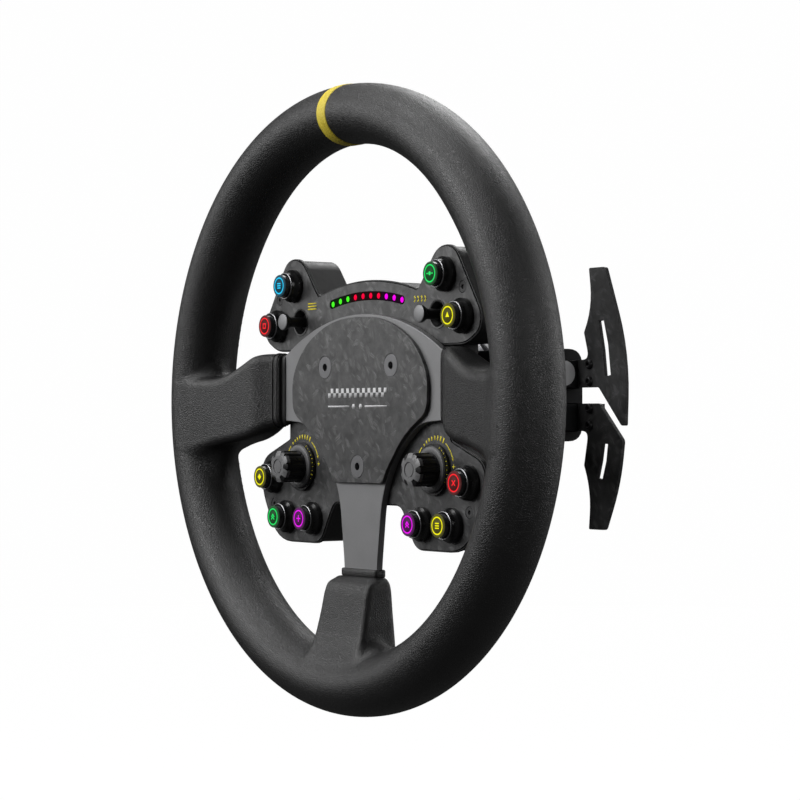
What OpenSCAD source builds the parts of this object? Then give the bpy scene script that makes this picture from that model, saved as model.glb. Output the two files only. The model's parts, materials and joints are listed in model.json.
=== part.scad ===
// Sim-racing steering wheel: a leather rim on a flat alloy frame, a button plate with
// lit buttons, thumb sticks and rotary knobs, four paddles behind it and a quick release.
// X points to the driver's right, Y away from the driver along the column, Z up.
// The origin is the centre of the quick release's mouth. Heights along the column are given
// from the rim's middle plane, which at_rim() moves into place.

/* [Rim] */
// Outer diameter of the rim
rim_d = 330; // [326:1:334]
// Width of the grip across the wheel's plane
grip_w = 31.5; // [30:0.5:33]
// Depth of the grip along the column
grip_depth = 38; // [36:0.5:40]
// Thickness of the leather
leather_t = 1.4; // [1:0.1:1.8]
// Width of the centring stripe at the top
stripe_w = 8; // [6:0.5:12]

/* [Frame and cover] */
// Front face of the alloy frame
frame_y = 6; // [5.5:0.1:6.5]
// Thickness of the alloy frame
frame_t = 3.8; // [3.4:0.1:4]
// Thickness of the centre cover
cover_t = 2.2; // [1.8:0.1:2.4]
// Radius of the wheel's bolt circle
bolt_circle_r = 35; // [34.5:0.1:35.5]

/* [Button plate] */
// Thickness of the button plate
plate_t = 2; // [1.8:0.1:2.2]
// Depth of the electronics housing behind the plate
housing_depth = 21.6; // [20:0.2:24]
// Radius of a button cap
cap_r = 6; // [5.6:0.1:6.2]
// Travel of a button
cap_travel = 1.5; // [1:0.1:1.5]
// Radius of a rotary knob's skirt
knob_skirt_r = 13.2; // [12.6:0.1:13.6]
// Number of flutes on a rotary knob
flutes = 12; // [8:1:16]

/* [Paddles] */
// Front face of the paddle blades
blade_y = 64; // [63:0.5:65]
// Thickness of a paddle blade
blade_t = 2; // [1.6:0.1:2]
// Distance of a paddle's pivot from the wheel's axis
pivot_x = 86; // [85:0.5:87]

/* [Quick release] */
// Distance from the rim's middle plane to the quick release's mouth
mouth_y = 92; // [90:1:96]
// Radius of the socket for the wheel base's spigot
socket_r = 20.5; // [20:0.1:21]
// Depth of that socket
socket_depth = 22; // [20:1:23]

/* [Hidden] */
$fn = 64;

// Rim
rim_r = rim_d / 2 - grip_w / 2;
ring_half_w = 6.5;

// Stack along the column
plate_y = frame_y + frame_t;
plate_back = plate_y + plate_t;
housing_back = plate_back + housing_depth;
cover_y = frame_y - cover_t;
board_y = 23;
board_t = 1.6;
bracket_y = 50;
flange_y = 56;
flange_t = 8;

// Fits
run_gap = 0.05;
loose_gap = 0.1;
wall = 2;
lip_w = 0.95;
lip_step = 0.6;

// Controls on the driver's right, as [x, z]; the left ones mirror them
button_at = [[69.6, 62.8], [84.4, 41.3], [89.4, -41.8], [75.7, -63.4], [50.2, -63.6]];
stick_at = [63, 42.8];
knob_at = [60.9, -35.7];
plate_screw_at = [[83.9, 55.8], [89.4, -56.7]];

// Shift light strip: an arc about a point below the hub
light_arc_z = -99.3;
light_arc_r = 154;
light_step = 2.64;
lights = 10;
light_r = 1.65;
strip_half_h = 2.35;
strip_half_angle = light_step * (lights - 1) / 2 + 0.2;

// Outlines, driver's right half from top to bottom, as [x, z, rounding length]
cover_half = [
    [0, 43.6, 0], [26, 42.4, 16], [52, 28.6, 11], [62.6, 12, 8], [61.8, -6.5, 6],
    [41.5, -18.5, 10], [26, -37, 4], [22.6, -43.6, 3], [0, -43.6, 0]
];
frame_half = [
    [72, 25, 0], [86, 21, 8], [108, 9, 12], [rim_r, 9, 0],
    [rim_r, -9, 0], [104, -9, 12], [72, -11, 0], [53, -12, 8], [30.5, -29, 11],
    [19.5, -50, 11], [14.8, -88, 10], [13, -130, 0], [13, -rim_r, 0], [0, -rim_r, 0]
];
plate_half = [
    [46, 55.6, 2], [62.5, 76.8, 7], [76.5, 76.8, 6.5], [99, 42, 4], [97.4, 34.2, 3.8],
    [86.5, 28, 6], [66, 28, 0], [66, -12, 0], [73.4, -12, 1], [73.4, -21.6, 2],
    [102.8, -32.9, 9], [101.4, -50.5, 8], [86.8, -76.3, 14], [43.8, -76.3, 6], [30.8, -54, 5],
    [0, -54, 0]
];
side_wrap = [
    [72, 26], [84, 25.5], [98, 21.5], [110, 16], [120, 13.5], [129, 15], [136, 24], [150, 24],
    [150, -26], [138, -24], [130, -21], [115, -18], [95, -14], [76, -12.3], [72, -12]
];
side_wrap_depth = [
    [72, 6], [72, 3.3], [80, 1.2], [88, -5.5], [135, -16], [150, -10], [150, 14], [135, 17],
    [110, 15.5], [84, 13], [79, 11.5], [79, 6]
];
bottom_wrap_half = [
    [15.7, -88.5], [15.7, -92.5], [19.4, -95.5], [19, -100], [20.6, -115], [22, -122],
    [27, -130], [36, -137], [36, -150]
];
bottom_wrap_depth = [
    [4.5, -88.5], [4.5, -92.5], [-1, -95], [-3.9, -100], [-8.4, -122], [-12, -132], [-12, -150],
    [14, -150], [14, -130], [13, -100], [12.5, -95], [11.3, -92.5], [11.3, -88.5]
];

// Paddles
arm_y = blade_y + blade_t;
arm_back = 71;
arm_tail_r = 7;
shift_z = [5.7, 19.3];
clutch_z = [-16, -2.6];
arm_gap = 0.4;
pin_r = 2;
shift_blade = [
    [108.2, 5.6, 0], [124.3, 5.6, 1], [141.6, -13.5, 1], [144.5, -13.5, 1], [146, 22, 22],
    [129.4, 65.4, 1.5], [116.9, 65.4, 1], [119.5, 45, 12], [113, 33.3, 0.6], [117, 19.6, 5],
    [108.2, 19.6, 0]
];
clutch_blade = [
    [108.2, -2.4, 0], [124.8, -2.4, 1], [142.6, -20.8, 1.5], [139.5, -42, 14],
    [129, -65.3, 1.5], [116.7, -65.3, 1], [118.5, -46, 12], [113, -33.4, 0.6],
    [116.5, -16.2, 5], [108.2, -16.2, 0]
];
shift_slot = [[124.4, 38.6], [128.2, 39], [131.6, 27], [133.6, 11.6], [129.3, 10.9], [127.6, 24]];
clutch_slot = [[127.4, -22.4], [131.4, -22.6], [130.2, -31], [127.2, -40.1], [123.2, -39.6], [125.8, -31]];
shift_screws = [[117.5, 17.1], [117.5, 8.6]];
clutch_screws = [[117.5, -4.9], [117.5, -13.3]];
shift_disc_at = [55.9, 12.8];
shift_disc_r = 6.2;
disc_depth = 1.5;

// ---- Helpers ----

// Moves a shape drawn from the rim's middle plane into the part's frame
module at_rim() translate([0, -mouth_y, 0]) children();

// A flat sheet between two depths; its outline is drawn as [x, z]
module slab(y0, y1) translate([0, y1, 0]) rotate([90, 0, 0]) linear_extrude(y1 - y0) children();

// A round bar or cone along the column at p = [x, z]
module rod(p, y0, y1, r, r_end = 0)
    translate([p[0], y0, p[1]]) rotate([-90, 0, 0])
        cylinder(h = y1 - y0, r1 = r, r2 = r_end > 0 ? r_end : r);

// A turned shape about the line at p; its section is drawn as [radius, depth]
module turned(p, section)
    translate([p[0], 0, p[1]]) rotate([-90, 0, 0]) rotate_extrude() polygon(section);

// A box between two corners
module block(low, high) translate(low) cube(high - low);

// The same shape on both sides
module both_sides() {
    children();
    mirror([1, 0, 0]) children();
}

function unit(v) = v / norm(v);
function at_side(p, side) = [side * p[0], p[1]];
function on_bolt_circle(a) = bolt_circle_r * [cos(a), sin(a)];

// Points of one rounded corner: a quadratic curve between the two tangent points
function corner(a, p, b, len, steps = 6) =
    len == 0 ? [p] :
    let (s = p + unit(a - p) * len, e = p + unit(b - p) * len)
    [for (i = [0:steps]) let (t = i / steps) (1 - t) * (1 - t) * s + 2 * t * (1 - t) * p + t * t * e];

function xz(p) = [p[0], p[1]];
function rounded(pts) = let (n = len(pts)) [
    for (i = [0:n - 1])
        each corner(xz(pts[(i + n - 1) % n]), xz(pts[i]), xz(pts[(i + 1) % n]), pts[i][2])
];

// A half outline and its mirror image, joined at x = 0
function mirrored(half) = let (n = len(half)) concat(half, [
    for (i = [n - 1:-1:0]) if (half[i][0] != 0) [-half[i][0], half[i][1], half[i][2]]
]);

// Arc of radius r about [0, cz], from x0 to x1, as outline points
function top_arc(r, cz, x0, x1, steps = 12) = [
    for (i = [0:steps])
        let (a = asin(x0 / r) + (asin(x1 / r) - asin(x0 / r)) * i / steps)
        [r * sin(a), cz + r * cos(a), 0]
];

// Closed band between two arcs about [0, cz]
function arc_band(r, half_h, cz, half_angle, steps = 20) = concat(
    [for (i = [0:steps]) let (a = half_angle * (2 * i / steps - 1))
        [(r + half_h) * sin(a), cz + (r + half_h) * cos(a)]],
    [for (i = [steps:-1:0]) let (a = half_angle * (2 * i / steps - 1))
        [(r - half_h) * sin(a), cz + (r - half_h) * cos(a)]]
);

// ---- Outlines ----

function ellipse(a, b, n = 40) = [for (i = [0:n - 1]) [a * cos(360 * i / n), b * sin(360 * i / n)]];
function light_angle(i) = light_step * (i - (lights - 1) / 2);
function light_at(i) = [light_arc_r * sin(light_angle(i)), light_arc_z + light_arc_r * cos(light_angle(i))];

// Slot of the shift light strip, with round ends
module light_slot(inset) {
    polygon(arc_band(light_arc_r, strip_half_h - inset, light_arc_z, strip_half_angle));
    for (a = [-strip_half_angle, strip_half_angle])
        translate([light_arc_r * sin(a), light_arc_z + light_arc_r * cos(a)])
            circle(r = strip_half_h - inset);
}

module plate_outline()
    polygon(rounded(mirrored(concat(top_arc(161.2, -99.2, 0, 43.5), plate_half))));

// ---- Rim ----

module rim_ring(inset)
    rotate([-90, 0, 0]) rotate_extrude()
        translate([rim_r, 0]) polygon(ellipse(grip_w / 2 - inset, grip_depth / 2 - inset));

// The frame's plate with its three spokes, and the ring inside the grip
module frame_blank() {
    slab(frame_y, plate_y)
        polygon(rounded(mirrored(concat(top_arc(138, -93, 0, 71), frame_half))));
    difference() {
        rod([0, 0], frame_y, plate_y, rim_r + ring_half_w);
        rod([0, 0], frame_y - 1, plate_y + 1, rim_r - ring_half_w);
    }
}

// Countersunk hub bolt from the front; gap widens it into its hole, which runs out of the cover
module front_bolt(a, gap = 0) {
    rod(on_bolt_circle(a), cover_y - (gap > 0 ? 1 : 0), cover_y + 1, 5.9 + gap);
    rod(on_bolt_circle(a), cover_y + 1, cover_y + 4, 5.9 + gap, 3 + gap);
    rod(on_bolt_circle(a), cover_y + 1, flange_y + flange_t - 1, 3 + gap);
}

// Countersunk bolt from the back, through the quick release's flange
module back_bolt(a, gap = 0) {
    back = flange_y + flange_t;
    rod(on_bolt_circle(a), plate_y + 8 - gap, back, 3 + gap);
    rod(on_bolt_circle(a), back - 3, back, 3 + gap, 5.5 + gap);
    if (gap > 0) rod(on_bolt_circle(a), back, back + 1, 5.5 + gap);
}

front_angles = [30, 150, 270];
back_angles = [90, 210, 330];

module all_bolts(gap) {
    for (a = front_angles) front_bolt(a, gap);
    for (a = back_angles) back_bolt(a, gap);
}

module rim_frame() at_rim() color("dimgray") difference() {
    union() frame_blank();
    all_bolts(run_gap);
    rod([0, 0], 0, 20, 12);
}

module stripe() intersection() {
    difference() {
        rim_ring(0);
        rim_ring(leather_t / 2);
    }
    block([-stripe_w / 2, -30, 100], [stripe_w / 2, 30, 180]);
}

module rim_foam() at_rim() color([0.2, 0.2, 0.2]) difference() {
    rim_ring(leather_t);
    frame_blank();
}

module rim_leather() at_rim() color([0.13, 0.13, 0.13]) difference() {
    rim_ring(0);
    rim_ring(leather_t);
    frame_blank();
    stripe();
}

module top_stripe() at_rim() color([0.85, 0.75, 0.15]) stripe();

module spoke_wraps() at_rim() color([0.15, 0.15, 0.15]) difference() {
    union() {
        both_sides() intersection() {
            slab(-25, 25) polygon(side_wrap);
            translate([0, 0, -30]) linear_extrude(60) polygon(side_wrap_depth);
        }
        intersection() {
            slab(-25, 25) {
                polygon(concat(bottom_wrap_half, [[0, -150], [0, -88.5]]));
                mirror([1, 0]) polygon(concat(bottom_wrap_half, [[0, -150], [0, -88.5]]));
            }
            translate([-40, 0, 0]) rotate([90, 0, 90]) linear_extrude(80) polygon(bottom_wrap_depth);
        }
    }
    rim_ring(0);
    frame_blank();
}

// ---- Hub ----

module center_cover() at_rim() color([0.29, 0.29, 0.29]) difference() {
    slab(cover_y, frame_y) polygon(rounded(mirrored(cover_half)));
    for (a = front_angles) front_bolt(a, run_gap);
}

module hub_bolts() at_rim() color("silver") difference() {
    all_bolts(0);
    for (a = front_angles) rod(on_bolt_circle(a), cover_y - 1, cover_y + 2.4, 2);
    for (a = back_angles) rod(on_bolt_circle(a), flange_y + flange_t - 2.4, mouth_y, 2);
}

module hub_spacer() at_rim() color([0.1, 0.1, 0.1]) difference() {
    rod([0, 0], plate_y, bracket_y, 40);
    rod([0, 0], 0, 60, 24);
    all_bolts(run_gap);
}

// ---- Button plate and housing ----

// Everything that passes through the button plate
module plate_holes() {
    rod([0, 0], 0, 60, 41);
    slab(0, plate_back + 1) light_slot(0);
    for (side = [-1, 1]) {
        for (p = button_at) rod(at_side(p, side), 0, 20, cap_r + 1.1);
        rod(at_side(stick_at, side), 0, 20, 7.1);
        rod(at_side(knob_at, side), 0, 20, 4.6);
        for (p = plate_screw_at) rod(at_side(p, side), 0, 24, 1.55);
    }
}

module button_plate() at_rim() color([0.29, 0.29, 0.29]) difference() {
    slab(plate_y, plate_back) plate_outline();
    plate_holes();
    for (side = [-1, 1]) for (p = plate_screw_at) rod(at_side(p, side), plate_y - 1, plate_y + 0.8, 3.1);
}

module plate_screws() at_rim() color("black")
    for (side = [-1, 1]) for (p = plate_screw_at) difference() {
        union() {
            rod(at_side(p, side), plate_y + 0.1, plate_y + 0.8, 2.9);
            rod(at_side(p, side), plate_y + 0.5, plate_y + 12, 1.5);
        }
        rod(at_side(p, side), plate_y - 1, plate_y + 0.9, 1.1);
    }

// Housing with a lip that stands round the plate's edge
module rear_housing() at_rim() color([0.08, 0.08, 0.08]) difference() {
    union() {
        difference() {
            union() {
                slab(plate_y + lip_step, plate_back + lip_step) offset(delta = lip_w) plate_outline();
                slab(plate_back, housing_back) offset(delta = loose_gap) plate_outline();
            }
            slab(plate_y - 1, plate_back) offset(delta = loose_gap) plate_outline();
            slab(plate_back - 1, housing_back - wall) offset(delta = loose_gap - wall) plate_outline();
        }
        for (side = [-1, 1]) for (p = plate_screw_at)
            rod(at_side(p, side), plate_back, housing_back - 1, 3.2);
    }
    rod([0, 0], 0, 60, 41);
    for (side = [-1, 1]) for (p = plate_screw_at) rod(at_side(p, side), 0, 24, 1.55);
}

module main_board() at_rim() color("darkgreen") difference() {
    union() {
        slab(board_y, board_y + board_t) offset(delta = -5) plate_outline();
        block([-14, board_y + board_t, 46], [14, board_y + board_t + 1.4, 56]);
        for (x = [-60, 52]) block([x, board_y + board_t, 34], [x + 8, board_y + board_t + 1.2, 42]);
    }
    rod([0, 0], 0, 60, 43);
    for (side = [-1, 1]) for (p = plate_screw_at) rod(at_side(p, side), 0, 60, 4);
}

bezel_section = [
    [cap_r + loose_gap, 3.6], [6.8, 3.3], [7.3, 3.6], [7.6, 5.4], [8, 6.2], [8.9, 7.4],
    [8.9, plate_y], [cap_r + 1, plate_y], [cap_r + 1, 13], [cap_r + loose_gap, 13]
];

module button_bezels() at_rim() color([0.06, 0.06, 0.06])
    for (side = [-1, 1]) for (p = button_at) turned(at_side(p, side), bezel_section);

module button_switches() at_rim() color([0.25, 0.25, 0.25])
    for (side = [-1, 1]) for (p = button_at) {
        c = at_side(p, side);
        block([c[0] - 3, 17.5, c[1] - 3], [c[0] + 3, board_y, c[1] + 3]);
        rod(c, 14.3 + cap_travel + loose_gap, 17.5, 1.7);
    }

// A button cap with a ring groove for its lit ring and a flange behind the bezel
module button_cap(side, i) at_rim() color([0.2, 0.2, 0.2])
    turned(at_side(button_at[i], side), [
        [0, 0], [3.55, 0], [3.55, 0.5], [4.7, 0.5], [4.7, 0], [cap_r - 0.4, 0], [cap_r, 0.4],
        [cap_r, 13.05], [cap_r + 0.6, 13.05], [cap_r + 0.6, 14.3], [0, 14.3]
    ]);

module left_button_top() button_cap(-1, 0);
module left_button_upper() button_cap(-1, 1);
module left_button_lower() button_cap(-1, 2);
module left_button_corner() button_cap(-1, 3);
module left_button_inner() button_cap(-1, 4);
module right_button_top() button_cap(1, 0);
module right_button_upper() button_cap(1, 1);
module right_button_lower() button_cap(1, 2);
module right_button_corner() button_cap(1, 3);
module right_button_inner() button_cap(1, 4);

// ---- Shift light strip ----

module light_strip() at_rim() color([0.03, 0.03, 0.03]) difference() {
    slab(plate_y + 0.2, 13) light_slot(loose_gap);
    for (i = [0:lights - 1]) rod(light_at(i), 0, 20, light_r + run_gap);
}

module shift_lights() at_rim() color("lime")
    for (i = [0:lights - 1]) rod(light_at(i), plate_y + 0.1, 15, light_r);

// ---- Thumb sticks ----

stick_pivot_y = 18.5;
ring_half_t = 0.9;
pin_stub_r = 0.6;

module stick_dishes() at_rim() color([0.06, 0.06, 0.06])
    for (side = [-1, 1]) turned(at_side(stick_at, side), [
        [4.7, 12.6], [6.5, plate_y - 0.2], [7.6, plate_y - 0.3], [7.6, plate_y], [7, plate_y],
        [7, 13.8], [4.7, 13.8]
    ]);

module stick_sockets() at_rim() color("silver")
    for (side = [-1, 1]) translate([side * stick_at[0], 0, stick_at[1]]) difference() {
        block([-7, 15.6, -7], [7, board_y, 7]);
        block([-5.8, 15, -5.8], [5.8, board_y - 0.8, 5.8]);
        translate([-8, stick_pivot_y, 0]) rotate([0, 90, 0]) cylinder(h = 16, r = pin_stub_r + run_gap);
    }

module stick_gimbal(side) at_rim() color("gray") translate([side * stick_at[0], stick_pivot_y, stick_at[1]])
    difference() {
        union() {
            block([-5.4, -ring_half_t, -5.4], [5.4, ring_half_t, 5.4]);
            translate([-6.6, 0, 0]) rotate([0, 90, 0]) cylinder(h = 13.2, r = pin_stub_r);
        }
        block([-3.5, -2, -3.5], [3.5, 2, 3.5]);
        translate([0, 0, -6]) cylinder(h = 12, r = pin_stub_r + run_gap);
    }

module stick_pivot(side) at_rim() color("gray") translate([side * stick_at[0], stick_pivot_y, stick_at[1]])
    difference() {
        union() {
            block([-2.9, -ring_half_t, -2.9], [2.9, ring_half_t, 2.9]);
            translate([0, 0, -5]) cylinder(h = 10, r = pin_stub_r);
        }
        rod([0, 0], -2, 2, 1.65);
    }

module thumb_stick(side) at_rim() color([0.6, 0.6, 0.6])
    turned(at_side(stick_at, side), [
        [0, -2], [4.2, -2], [4.5, -1.7], [4.5, -0.2], [2.7, 2.7], [2.7, 12.6], [1.6, 14.2],
        [1.6, 21], [0, 21]
    ]);

module left_stick_gimbal() stick_gimbal(-1);
module left_stick_pivot() stick_pivot(-1);
module left_stick() thumb_stick(-1);
module right_stick_gimbal() stick_gimbal(1);
module right_stick_pivot() stick_pivot(1);
module right_stick() thumb_stick(1);

// ---- Rotary knobs ----

shaft_r = 3;
body_r = 8.5;
skirt_front = 6.4;

// Front of the grey cap, back of its chamfer and back of its six prongs
cap_front = -6.6;
cap_chamfer = -5.4;
prong_back = -3.4;
cap_disc_r = 5.8;

module encoders() at_rim() color("silver")
    for (side = [-1, 1]) {
        c = at_side(knob_at, side);
        difference() {
            union() {
                block([c[0] - 6.5, 16, c[1] - 6.5], [c[0] + 6.5, board_y, c[1] + 6.5]);
                rod(c, plate_y, 16, 4.5);
            }
            rod(c, 0, 20, shaft_r + run_gap);
        }
    }

// The knob's chamfered front, from its cap back to the end of the prongs
module knob_front(c) {
    rod(c, cap_front, cap_chamfer, cap_disc_r, body_r);
    rod(c, cap_chamfer, prong_back, body_r);
}

// Outline of the grey cap: a disc with six prongs
module cap_star(c, gap) translate(c) {
    circle(r = cap_disc_r + gap);
    for (a = [30:60:330]) rotate(a) translate([0, -2.1 - gap]) square([body_r + 1, 4.2 + 2 * gap]);
}

module rotary_knob(side) at_rim() color([0.07, 0.07, 0.07]) {
    c = at_side(knob_at, side);
    difference() {
        union() {
            knob_front(c);
            rod(c, prong_back, skirt_front, body_r);
            rod(c, skirt_front, 7.9, knob_skirt_r - 1.6, knob_skirt_r - 1.2);
            rod(c, 7.9, plate_y - 0.3, knob_skirt_r);
            rod(c, plate_y - 0.3, 19.5, shaft_r);
        }
        slab(cap_front - 1, prong_back + run_gap) cap_star(c, run_gap);
        for (i = [0:flutes - 1]) let (a = 360 * (i + 0.5) / flutes)
            rod(c + 9.1 * [cos(a), sin(a)], cap_front - 1, skirt_front - 1, 1.35);
    }
}

module knob_cap(side) at_rim() color("gray") {
    c = at_side(knob_at, side);
    difference() {
        intersection() {
            knob_front(c);
            slab(cap_front - 1, prong_back) cap_star(c, 0);
        }
        rod(c, cap_front - 1, cap_front + 0.5, 4);
    }
    rod(c, cap_front + 0.1, cap_front + 0.5, 3.4);
}

module left_knob() rotary_knob(-1);
module left_knob_cap() knob_cap(-1);
module right_knob() rotary_knob(1);
module right_knob_cap() knob_cap(1);

// ---- Paddles ----

module paddle_bracket() at_rim() color([0.12, 0.12, 0.12]) difference() {
    slab(bracket_y, flange_y) polygon(rounded([
        [-72, -21.5, 2], [-38, -21.5, 6], [-20, -39, 10], [20, -39, 10], [38, -21.5, 6],
        [72, -21.5, 2], [72, 25.4, 2], [36, 25.4, 6], [20, 39, 10], [-20, 39, 10],
        [-36, 25.4, 6], [-72, 25.4, 2]
    ]));
    rod([0, 0], 0, 60, 24);
    all_bolts(run_gap);
}

// One block of the pair that hold the paddles' pivots, with a pocket for each arm
module paddle_housing() difference() {
    intersection() {
        translate([0, 0, -30]) linear_extrude(60)
            polygon([[60, flange_y], [72, flange_y], [72, bracket_y], [100, bracket_y], [100, 74], [60, 74]]);
        rotate([90, 0, 90]) linear_extrude(110) polygon(rounded([
            [bracket_y, 25.4, 0], [74, 25.4, 9], [74, -21.5, 9], [bracket_y, -21.5, 0]
        ]));
    }
    for (z = [shift_z, clutch_z])
        block([pivot_x - arm_tail_r - 1.5, 45, z[0] - arm_gap], [101, arm_back + arm_gap, z[1] + arm_gap]);
    translate([pivot_x, blade_y, -18]) cylinder(h = 40, r = pin_r);
    for (z = [shift_z, clutch_z]) rod([96, (z[0] + z[1]) / 2], arm_back, 73, 3);
}

module paddle_housings() at_rim() color([0.1, 0.1, 0.1]) both_sides() paddle_housing();

module paddle_pins() at_rim() color("silver")
    both_sides() translate([pivot_x, blade_y, -18]) cylinder(h = 40, r = pin_r);

module paddle_magnets() at_rim() color("silver") both_sides()
    for (z = [shift_z, clutch_z]) rod([96, (z[0] + z[1]) / 2], arm_back + arm_gap, 73, 3);

// Arm that carries a blade: a round tail on the pin, a thick root and a tongue behind the blade
module paddle_arm(z) difference() {
    union() {
        translate([pivot_x, blade_y, z[0]]) cylinder(h = z[1] - z[0], r = arm_tail_r);
        block([pivot_x, blade_y - arm_tail_r, z[0]], [96, arm_back, z[1]]);
        block([94, 49, z[0]], [108, arm_back, z[1]]);
        block([108, arm_y, z[0]], [121, arm_back, z[1]]);
    }
    translate([pivot_x, blade_y, z[0] - 1]) cylinder(h = z[1] - z[0] + 2, r = pin_r + run_gap);
}

// Polished disc let into the outer face of a shift paddle's arm
module disc_on_arm(gap = 0)
    translate([108 - disc_depth - gap, shift_disc_at[0], shift_disc_at[1]]) rotate([0, 90, 0])
        cylinder(h = disc_depth + 0.4, r = shift_disc_r + gap);

module blade_screw_set(at, gap = 0) for (p = at) {
    rod(p, blade_y, arm_back - 1, 1.5 + gap);
    if (gap == 0) rod(p, blade_y - 1.6, blade_y, 2, 2.7);
}

module placed_arm(side, z, screws) at_rim() color([0.12, 0.12, 0.12])
    mirror([side < 0 ? 1 : 0, 0, 0]) difference() {
        paddle_arm(z);
        blade_screw_set(screws, run_gap);
        if (z == shift_z) disc_on_arm(run_gap);
    }

module placed_disc(side) at_rim() color("silver") mirror([side < 0 ? 1 : 0, 0, 0]) disc_on_arm();

module placed_blade(side, outline, slot, screws) at_rim() color([0.27, 0.27, 0.27])
    mirror([side < 0 ? 1 : 0, 0, 0]) difference() {
        slab(blade_y, arm_y) polygon(rounded(outline));
        slab(blade_y - 1, arm_y + 1) polygon(slot);
        blade_screw_set(screws, run_gap);
    }

module placed_screws(side, screws) at_rim() color("black")
    mirror([side < 0 ? 1 : 0, 0, 0]) difference() {
        blade_screw_set(screws);
        for (p = screws) rod(p, blade_y - 2, blade_y - 0.4, 1);
    }

module left_shift_arm() placed_arm(-1, shift_z, shift_screws);
module left_shift_disc() placed_disc(-1);
module left_shift_blade() placed_blade(-1, shift_blade, shift_slot, shift_screws);
module left_shift_screws() placed_screws(-1, shift_screws);
module left_clutch_arm() placed_arm(-1, clutch_z, clutch_screws);
module left_clutch_blade() placed_blade(-1, clutch_blade, clutch_slot, clutch_screws);
module left_clutch_screws() placed_screws(-1, clutch_screws);
module right_shift_arm() placed_arm(1, shift_z, shift_screws);
module right_shift_disc() placed_disc(1);
module right_shift_blade() placed_blade(1, shift_blade, shift_slot, shift_screws);
module right_shift_screws() placed_screws(1, shift_screws);
module right_clutch_arm() placed_arm(1, clutch_z, clutch_screws);
module right_clutch_blade() placed_blade(1, clutch_blade, clutch_slot, clutch_screws);
module right_clutch_screws() placed_screws(1, clutch_screws);

// ---- Quick release ----

qr_r = 29;
ball_y = mouth_y - 9;
ball_ring_r = 25.2;
ball_r = 3;
contact_r = 8;
collar_y = [72, mouth_y - 2];
collar_step_y = 80;
spring_r = 31.2;
spring_wire_r = 1;
spring_turns = 4;

module qr_body() at_rim() color([0.75, 0.75, 0.75]) difference() {
    turned([0, 0], [
        [contact_r, flange_y], [40, flange_y], [40, flange_y + flange_t], [qr_r, flange_y + flange_t],
        [qr_r, collar_y[1] + 0.05], [qr_r + 2, collar_y[1] + 0.05], [qr_r + 2, mouth_y - 0.6],
        [qr_r + 1.4, mouth_y], [socket_r, mouth_y], [socket_r, mouth_y - socket_depth],
        [contact_r, mouth_y - socket_depth]
    ]);
    all_bolts(run_gap);
    for (a = [0:60:300]) rotate([0, a, 0]) translate([15, ball_y, 0]) rotate([0, 90, 0])
        cylinder(h = 20, r = ball_r + loose_gap);
}

module qr_balls() at_rim() color("silver")
    for (a = [0:60:300]) rotate([0, a, 0]) translate([ball_ring_r, ball_y, 0]) sphere(r = ball_r);

module qr_contacts() at_rim() color("goldenrod") {
    floor_y = mouth_y - socket_depth;
    rod([0, 0], flange_y + 2, floor_y - 2, contact_r);
    for (a = [0:60:300]) rod(4.5 * [cos(a), sin(a)], floor_y - 2, floor_y - 0.3, 1);
}

// Coil of the collar's return spring, swept as rings of points along a helix
module qr_spring() at_rim() color("silver") {
    sides = 8;
    rings = spring_turns * 22;
    length = collar_step_y - flange_y - flange_t - 2 * spring_wire_r - 0.4;
    polyhedron(
        points = [for (i = [0:rings]) let (a = 360 * spring_turns * i / rings) for (k = [0:sides - 1])
            let (b = 360 * k / sides, r = spring_r + spring_wire_r * cos(b),
                 y = flange_y + flange_t + 1.2 + length * i / rings + spring_wire_r * sin(b))
            [r * cos(a), y, r * sin(a)]],
        faces = concat(
            [[for (k = [sides - 1:-1:0]) k]],
            [for (i = [0:rings - 1]) for (k = [0:sides - 1]) let (m = (k + 1) % sides)
                [i * sides + k, i * sides + m, (i + 1) * sides + m, (i + 1) * sides + k]],
            [[for (k = [0:sides - 1]) rings * sides + k]]
        )
    );
}

module qr_collar() at_rim() color([0.5, 0.5, 0.5]) difference() {
    turned([0, 0], [
        [qr_r + run_gap, collar_step_y], [33.5, collar_step_y], [33.5, collar_y[0]], [35.4, collar_y[0]],
        [36, collar_y[0] + 0.6], [36, collar_y[1] - 0.6], [35.4, collar_y[1]], [qr_r + run_gap, collar_y[1]]
    ]);
    for (y = [75, 79, 83]) rotate([-90, 0, 0]) translate([0, 0, y]) rotate_extrude()
        polygon([[35.2, 0], [37, 0], [37, 2], [35.2, 2]]);
}

rim_frame();
rim_foam();
rim_leather();
spoke_wraps();
top_stripe();
center_cover();
hub_bolts();
button_plate();
plate_screws();
rear_housing();
main_board();
button_bezels();
button_switches();
stick_dishes();
stick_sockets();
encoders();
light_strip();
shift_lights();
hub_spacer();
paddle_bracket();
paddle_housings();
paddle_pins();
paddle_magnets();
qr_body();
qr_balls();
qr_contacts();
qr_spring();
qr_collar();
left_button_top();
left_button_upper();
left_button_lower();
left_button_corner();
left_button_inner();
right_button_top();
right_button_upper();
right_button_lower();
right_button_corner();
right_button_inner();
left_stick_gimbal();
left_stick_pivot();
left_stick();
right_stick_gimbal();
right_stick_pivot();
right_stick();
left_knob();
left_knob_cap();
right_knob();
right_knob_cap();
left_shift_arm();
left_shift_disc();
left_shift_blade();
left_shift_screws();
left_clutch_arm();
left_clutch_blade();
left_clutch_screws();
right_shift_arm();
right_shift_disc();
right_shift_blade();
right_shift_screws();
right_clutch_arm();
right_clutch_blade();
right_clutch_screws();
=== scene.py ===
"""The looks of a sim-racing steering wheel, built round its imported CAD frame.

Sizes are in millimetres in the rim's own frame: x to the driver's right, y away from the driver
with 0 at the rim's middle plane, z up. to_row() turns them into metres in the row frame.
"""
import json
import math

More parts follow.
